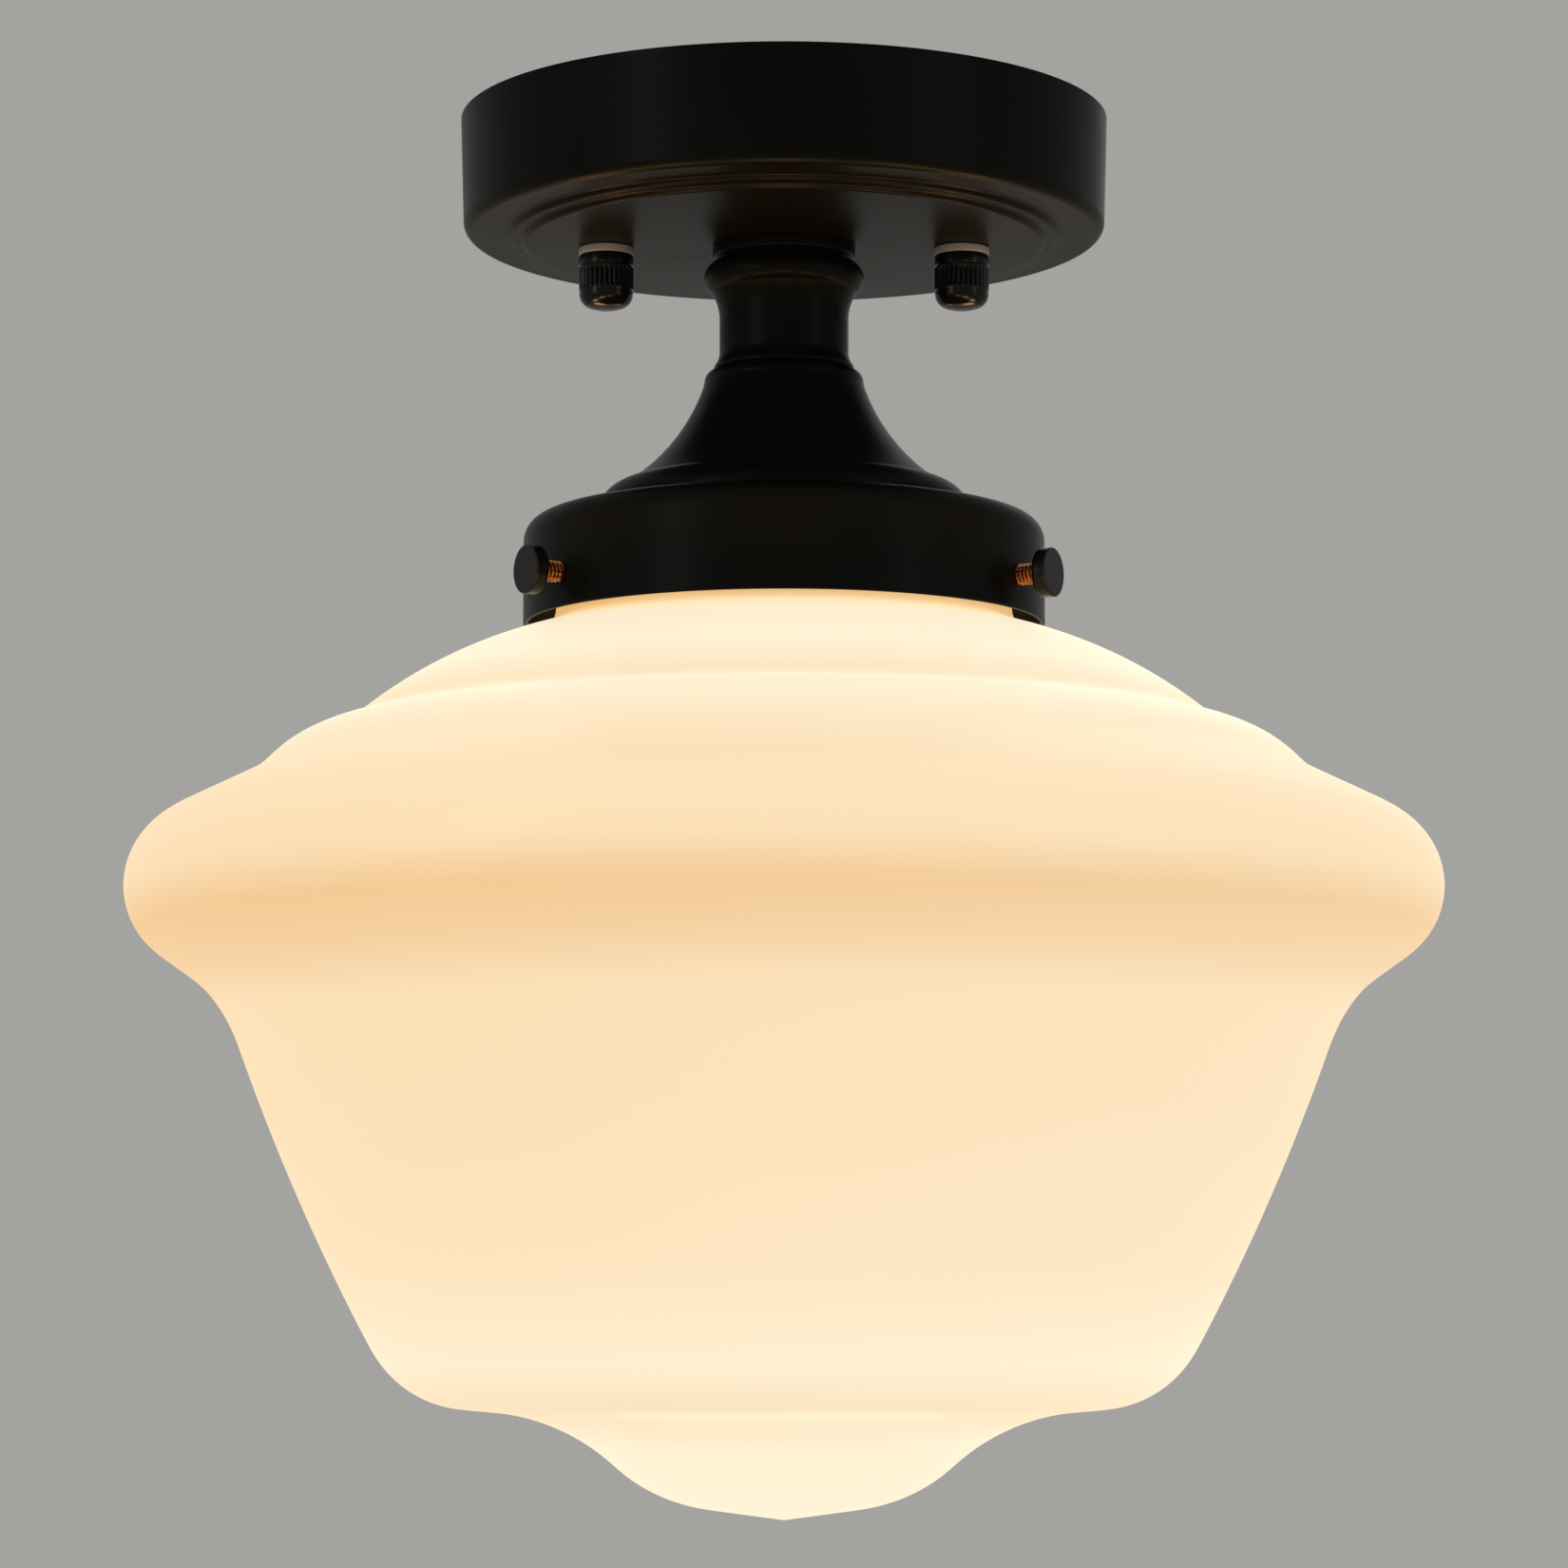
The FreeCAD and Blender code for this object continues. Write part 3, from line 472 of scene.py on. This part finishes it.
small_r = 2.07
small_pitch = 0.794
stud_thread_depth = 0.42
stud_outline = threaded_outline(small_r, -32.6, 0, small_pitch)
for side, place in zip(("left", "right"), stud_places):
    stud = turned("stud_" + side, stud_outline, 36, helix(small_r, small_pitch, stud_thread_depth), place)
    settle(stud, zinc, "light", "zinc_steel", "mounting_studs")
for name in ("crossbar", "stud_lock_nuts", "earth_tag", "block_screws", "clamp_screws",
             "tube_top_nut", "tube_top_lock_washer", "fitter_nut", "fitter_lock_washer",
             "socket_bracket", "socket_mount_screws"):
    zinc.on(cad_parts[name])
green_pass.on(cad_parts["earth_screw"])


# Terminal block and leads: a moulded nylon block with three brass sleeves joins the supply to the light's
# own leads. Live and neutral drop through the pipe, and the earth lead runs to the ring terminal.

moulding = Finish("moulded_block")
moulding_cloud = moulding.noise(250.0, 3.0)
moulding.wear(
    Base_Color=moulding.blend(moulding_cloud, (0.56, 0.55, 0.50), (0.64, 0.63, 0.58)),
    Roughness=moulding_cloud * 0.1 + 0.4,
    Normal=moulding.bump(moulding_cloud, 0.00002),
)
brass = Finish("bare_brass")
brass_cloud = brass.noise(260.0, 4.0)
brass.wear(
    Base_Color=brass.blend(brass_cloud, (0.62, 0.36, 0.13), (0.80, 0.52, 0.24)),
    Metallic=1.0,
    Roughness=brass_cloud * 0.18 + 0.2,
)
moulding.on(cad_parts["terminal_block"])
for name in ("terminal_sleeves", "socket_contact", "socket_terminal_screws", "bulb_contact"):
    brass.on(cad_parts[name])


def insulation(name, dark, light):
    """The plastic sleeve of a lead, slightly uneven in gloss."""
    sleeve = Finish(name)
    grain = sleeve.noise(500.0, 3.0)
    return sleeve.wear(Base_Color=sleeve.blend(grain, dark, light), Roughness=grain * 0.2 + 0.35,
                       Normal=sleeve.bump(grain, 0.00001))


insulation("black_sleeve", (0.012, 0.012, 0.012), (0.022, 0.022, 0.021)).on(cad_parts["live_lead"])
insulation("white_sleeve", (0.68, 0.67, 0.63), (0.76, 0.75, 0.71)).on(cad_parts["neutral_lead"])
insulation("green_sleeve", (0.03, 0.19, 0.06), (0.05, 0.25, 0.09)).on(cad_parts["earth_lead"])


# Lamp pipe: a threaded zinc plated tube stacks the plate, the neck, the bell and the shade holder, with a
# toothed washer and a hex nut at each end, and carries the leads.

pipe_r = 5.03
pipe_bore_r = 3.4
pipe_low = -87.6
pipe_top = -16.0
pipe_pitch = 0.941
pipe_thread_depth = 0.45
pipe_outline = threaded_outline(pipe_r, pipe_low, pipe_top, pipe_pitch, pipe_bore_r)
pipe = turned("lamp_pipe", pipe_outline, 48, helix(pipe_r, pipe_pitch, pipe_thread_depth))
settle(pipe, zinc, "light", "zinc_steel", "threaded_tube")


# Neck: turned from bar, with a collar against the plate, a round bead, a hollow that runs down to a
# straight waist and a foot that flares out over the bell. It is enamelled like the plate.

neck_outline = contour((5.3, -24.8), (14.0, -24.8), (14.0, -26.9), (13.2, -27.5), (13.25, -27.8),
                       ((15.65, -30.6), (14.15, -33.8)), ((13.1, -36.2), (12.65, -38.6)), (12.65, -45.3),
                       ((12.95, -47.3), (13.7, -48.6)), (13.7, -49.4), (5.3, -49.4))
neck = turned("turned_neck", softened(neck_outline, 0.35), 144)
settle(neck, enamel, "light", "black_metal", "neck_spool")


# Bell cover: spun from sheet, it hides the pipe between neck and shade holder. Its shoulder is small and
# round, its side sweeps out like a trumpet's bell, and it stands on a stepped foot ring.

bell_outer = contour((5.3, -49.4), (13.2, -49.4), ((14.9, -50.1), (15.6, -51.9)), (16.0, -53.4),
                     ((20.9, -62.6), (30.6, -72.0)), ((34.4, -73.6), (36.2, -76.2)), (36.2, -79.0), step=4)
bell_inner = contour((35.2, -79.0), (35.2, -76.6), (33.8, -74.5), (30.0, -72.9),
                     ((20.1, -63.3), (15.1, -53.8)), (14.5, -51.2), (12.8, -50.4), (5.3, -50.4), step=6)
bell = turned("bell", softened(bell_outer, 0.4) + bell_inner, 144)
settle(bell, enamel, "light", "black_metal", "bell_cover")


# Shade holder: a spun cup with a rounded shoulder and a thin rolled edge. Three bosses are pushed inwards
# through its wall and tapped for the thumb screws.

cup_outer = contour((5.3, -79.0), (46.2, -79.0), ((49.45, -80.35), (50.8, -83.6)), (50.8, -99.6),
                    ((50.65, -99.95), (50.3, -100.0)), step=8)
cup_inner = contour((50.1, -100.0), (49.8, -99.7), (49.8, -83.6), ((48.75, -81.05), (46.2, -80.0)),
                    (5.3, -80.0), step=8)
cup = turned("holder_cup", cup_outer + cup_inner, 192)
screw_height = -93.3
screw_hole_r = 2.16
screw_turns = {"back": 92.3, "left": 212.3, "right": 332.3}


def radial(degrees):
    """Lays a piece made along Z out along a radius of the cup, at the thumb screws' height."""
    upright = Matrix.Rotation(math.radians(90), 4, "Y")
    around = Matrix.Rotation(math.radians(degrees), 4, "Z")
    return Matrix.Translation((0, 0, screw_height * MM)) @ around @ upright


drilled(cup, *[drill(screw_hole_r, 47, 54, radial(turn)) for turn in screw_turns.values()])
settle(cup, enamel, "light", "black_metal", "fitter")
boss_corners = [(2.14, 48.4), (2.9, 48.4), (3.1, 49.95), (2.14, 49.95)]
boss_outline = softened(boss_corners + boss_corners[:1], 0.2)[:-1]
for side, turn in screw_turns.items():
    boss = turned("holder_boss_" + side, boss_outline, 48, place=radial(turn))
    settle(boss, enamel, "light", "black_metal")


# Thumb screws: a bare, reddish brass thread with a turned tip, which presses on the neck of the glass, and
# a round black head with softened rims, made in one with it.

# The brass is coloured a deep reddish orange: partly its own colour, partly a painted reflection of the
# glass's warm glow below it.
glow_tinted_brass = Finish("brass_tinted_by_glow")
copper_cloud = glow_tinted_brass.noise(320.0, 4.0)
glow_tinted_brass.wear(
    Base_Color=glow_tinted_brass.blend(copper_cloud, (0.52, 0.19, 0.05), (0.78, 0.34, 0.10)),
    Metallic=1.0,
    Roughness=copper_cloud * 0.12 + 0.10,
)
shank_thread_depth = 0.52
shank_tip, shank_end = 44.9, 54.9
shank_thread = threaded_outline(small_r, shank_tip, shank_end, small_pitch, per_pitch=12)[1:-2]
shank_outline = [(0, 44.6), (1.3, 44.6)] + shank_thread + [(1.9, shank_end), (1.9, 56.3), (0, 56.3)]
head_outline = contour((2.15, 54.82), (2.6, 54.82), (2.75, 54.95), (3.9, 54.95),
                       ((4.5, 55.2), (4.72, 55.8)), (4.72, 57.45), ((4.65, 57.75), (4.4, 57.84)),
                       (1.2, 57.86), (0, 57.86), (0, 56.65), (2.15, 56.6), step=15)
for side, turn in screw_turns.items():
    shank = turned("thumb_thread_" + side, shank_outline, 64,
                   helix(small_r, small_pitch, shank_thread_depth), radial(turn))
    settle(shank, glow_tinted_brass, "shank_" + side, "brass", "screw_shank_" + side)
    head = turned("thumb_head_" + side, head_outline, 96, place=radial(turn))
    settle(head, enamel_gloss, "head_" + side, "black_metal", "screw_head_" + side)


# Glass shade: blown in a mould in opal white glass, with a rolled lip, a plain neck, a domed shoulder, two
# rings, a round bulge and a tapering wall to a nippled floor. The bulb's light through it is painted on
# the glass as a warm cream glow.


def evened(points, spacing, rounds):
    """Spreads points evenly along an outline and relaxes its creases, as heat does with glass."""
    lengths = [0.0]
    for first, second in zip(points, points[1:]):
        lengths.append(lengths[-1] + math.dist(first, second))
    count = round(lengths[-1] / spacing)
    even = []
    piece = 0
    for i in range(count + 1):
        reach = lengths[-1] * i / count
        while piece < len(points) - 2 and lengths[piece + 1] < reach:
            piece += 1
        part = (reach - lengths[piece]) / (lengths[piece + 1] - lengths[piece])
        part = min(1.0, part)
        even.append(tuple(a + (b - a) * part for a, b in zip(points[piece], points[piece + 1])))
    for _ in range(rounds):
        inner = [((a[0] + 2 * b[0] + c[0]) / 4, (a[1] + 2 * b[1] + c[1]) / 4)
                 for a, b, c in zip(even, even[1:], even[2:])]
        even = [even[0]] + inner + [even[-1]]
    return even


glass_wall = 3.0
shade_top = -87.37
shade_low = -272.3
shade_lip = contour((44.3, -91.3), ((45.2, -90.97), (46.0, -90.97)), ((47.8, -89.17), (46.0, shade_top)),
                    (41.6, shade_top), step=12)
shade_outer = contour((44.3, -91.3), (44.3, -98.6), ((44.9, -100.0), (46.6, -100.9)),
                      ((67.3, -108.4), (84.9, -120.4)), ((94.2, -123.2), (101.8, -129.8)), (117.9, -137.7),
                      ((127.0, -152.4), (119.4, -165.2)), (112.2, -170.3),
                      ((107.6, -176.2), (104.9, -181.9)), ((93.9, -209.5), (78.8, -240.3)),
                      ((73.2, -246.8), (64.2, -251.0)), (58.4, -251.6), ((43.9, -254.7), (30.9, -263.5)),
                      ((23.4, -267.9), (16.0, -270.1)), (0, shade_low), step=0.8)
shade_outer = evened(shade_outer, 1.3, 4)


def inner_face(points):
    """The wall's other face, one thickness in along the outline's normals."""
    face = []
    for before, point, after in zip(points, points[1:], points[2:]):
        along = (Vector(after) - Vector(before)).normalized()
        face.append((point[0] + glass_wall * along[1], point[1] - glass_wall * along[0]))
    return face


shade_inner = [point for point in inner_face(shade_outer)[::3] if point[0] > 2.0][::-1]
shade_outline = (shade_outer + [(0, shade_low + glass_wall)] + shade_inner + [(41.3, -88.0)]
                 + shade_lip[:0:-1])
shade = turned("glass_shade", shade_outline, 192)

opal = Finish("opal_glass")
spot = opal.node("ShaderNodeTexCoord", output="Object")
height = opal.node("ShaderNodeSeparateXYZ", {}, [spot], output="Z")
across = opal.node("ShaderNodeSeparateXYZ", {}, [spot], output="X")
warm_glow = (0.80, 0.47, 0.17)
full_glow = (0.95, 0.83, 0.60)
# The glow is painted on as emission. It is brightest at the floor and the shoulder, which the bulb lights
# most, and dimmer on the upper bulge, which is turned away from it. It is dark at the neck, a painted
# shadow of the lamp holder.
glow_by_height = [(shade_low, 1.0), (-258, 1.0), (-251.5, 0.62), (-243, 0.90), (-225, 0.64), (-195, 0.54),
                  (-176, 0.52), (-168, 0.24), (-160, 0.08), (-152, 0.46), (-140, 0.54), (-128, 0.70),
                  (-122, 1.0), (-118.5, 0.66), (-112, 1.0), (-104, 0.95), (-99, 0.0)]
level = (height * (1 / MM) - shade_low) / (shade_top - shade_low)
stops = [((z - shade_low) / (shade_top - shade_low), (share,) * 3) for z, share in glow_by_height]
glow = opal.node("ShaderNodeValToRGB", {"stops": stops}, {"Fac": level})
# Painted light: the glow is a little dimmer on the left side of the glass and brighter on the right.
painted_side_light = opal.node("ShaderNodeMapRange", {"interpolation_type": "SMOOTHSTEP"},
                       {"Value": across, "From Min": -0.1, "From Max": 0.1, "To Min": -0.06, "To Max": 0.1})
swirl = opal.noise(14.0, 2.0)
opal.wear(
    Base_Color=opal.blend(swirl, (0.35, 0.315, 0.265), (0.39, 0.355, 0.30)),
    Roughness=swirl * 0.06 + 0.34,
    Specular_IOR_Level=0.25,
    Emission_Color=opal.blend(glow + painted_side_light, warm_glow, full_glow),
    Emission_Strength=0.9,
)
settle(shade, opal, "light", "opal_glass", "shade")
# The shoulder's light on the plate above it comes from small warm lamps that stand round the holder.
for turn in range(0, 360, 45):
    x, y = math.cos(math.radians(turn)), math.sin(math.radians(turn))
    soft_lamp(f"shoulder_glow_{turn}", 0.03, 0.03, 0.05, (x * 0.08, y * 0.08, -0.111),
              (x * 0.14, y * 0.14, 0), (1.0, 0.5, 0.16))


# Lamp holder: a glazed porcelain body hangs from the bent bracket on two screws. It holds a brass shell
# rolled with the bulb's coarse thread and a sprung tongue that meets the bulb's contact.

porcelain = Finish("glazed_porcelain")
glaze_cloud = porcelain.noise(60.0, 2.0)
porcelain.wear(
    Base_Color=porcelain.blend(glaze_cloud, (0.70, 0.69, 0.65), (0.78, 0.77, 0.73)),
    Roughness=glaze_cloud * 0.08 + 0.12,
    Coat_Weight=0.5,
    Coat_Roughness=0.05,
)
porcelain.on(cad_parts["socket_body"])

bulb_pitch = 3.629


def rolled(shallow, depth, low, high):
    """A rounded screw thread pressed into thin sheet between two heights."""
    def wave(radius, height, angle):
        if not low < height < high:
            return radius
        fade = min(1.0, (height - low) / 1.5, (high - height) / 1.5)
        phase = 2 * math.pi * height / bulb_pitch - angle
        return radius + fade * (depth * math.sin(phase) + shallow)
    return wave


shell_r = 13.85
shell_sheet = 0.4
shell_low = -121.5
shell_top = -101.05
shell_hole_r = 4.0
shell_steps = 44
shell_side = [(shell_r, shell_low + (shell_top - shell_low) * i / shell_steps)
              for i in range(shell_steps + 1)]
shell_floor = [(shell_hole_r, shell_top), (shell_hole_r, shell_top - shell_sheet),
               (shell_r - shell_sheet, shell_top - shell_sheet)]
shell_outline = shell_side + shell_floor + [(r - shell_sheet, z) for r, z in shell_side[-2::-1]]
shell = turned("screw_shell", shell_outline, 72, rolled(-0.3, 0.3, -120.6, -102.5))
settle(shell, brass, "light", "brass", "socket_shell")


# Bulb: frosted glass cemented into a nickel plated screw cap, which ends in a black glass insulator and a
# solder contact. It unscrews downwards out of the shell.

nickel = Finish("nickel_plate")
nickel_cloud = nickel.noise(150.0, 3.0)
nickel.wear(
    Base_Color=nickel.blend(nickel_cloud, (0.60, 0.59, 0.56), (0.74, 0.73, 0.70)),
    Metallic=1.0,
    Roughness=nickel_cloud * 0.15 + 0.18,
)
cap_r = 13.05
cap_shoulder = -109.7
cap_step = 0.41
cap_outline = [(0, -107.55), (9.0, -107.55), (12.0, -108.6), (cap_r, cap_shoulder)]
cap_outline += [(cap_r, cap_shoulder - cap_step * i) for i in range(1, 37)]
cap_outline += [(13.3, -125.3), (13.85, -126.8), (13.85, -128.5), (13.45, -128.5), (13.4, -127.0),
                (12.6, -124.9), (12.3, -110.1), (8.7, -108.1), (0, -107.95)]
cap = turned("bulb_screw_cap", cap_outline, 72, rolled(-0.35, 0.33, -124.4, -110.0))
settle(cap, nickel, "bulb", "nickel_cap", "bulb_cap")

frosted = Finish("frosted_glass")
frost = frosted.noise(700.0, 3.0)
frosted.wear(
    Base_Color=frosted.blend(frost, (0.86, 0.82, 0.74), (0.92, 0.88, 0.80)),
    Roughness=frost * 0.2 + 0.4,
    Emission_Color=(1.0, 0.82, 0.58),
    Emission_Strength=1.4,
)
globe_r = 30.0
globe_z = -183.75
bulb_wall = 1.0
bulb_neck_r = 14.0


def on_globe(turn):
    """The point of the globe at so many radians up from its lowest point."""
    return (globe_r * math.sin(turn), globe_z - globe_r * math.cos(turn))


glass_outer = contour((12.4, -125.2), (12.4, -128.6), ((14.6, -143.0), on_globe(math.radians(122))),
                      (on_globe(math.radians(90)), on_globe(1.0)), (on_globe(0.5), on_globe(0.0)))
glass_outer = evened(glass_outer, 2.0, 4)
glass_bore = [(max(0.0, r - (bulb_wall if r < bulb_neck_r else bulb_wall * r / globe_r)),
               z + (bulb_wall if z < globe_z else 0.0)) for r, z in glass_outer[::-1]]
bulb = turned("bulb_glass", glass_outer + glass_bore, 96)
settle(bulb, frosted, "bulb", "bulb_glass", "bulb_envelope")

black_glass = Finish("black_glass")
black_cloud = black_glass.noise(200.0, 2.0)
black_glass.wear(Base_Color=black_glass.blend(black_cloud, (0.012, 0.010, 0.014), (0.02, 0.018, 0.022)),
                 Roughness=black_cloud * 0.05 + 0.08)
black_glass.on(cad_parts["bulb_foot"])
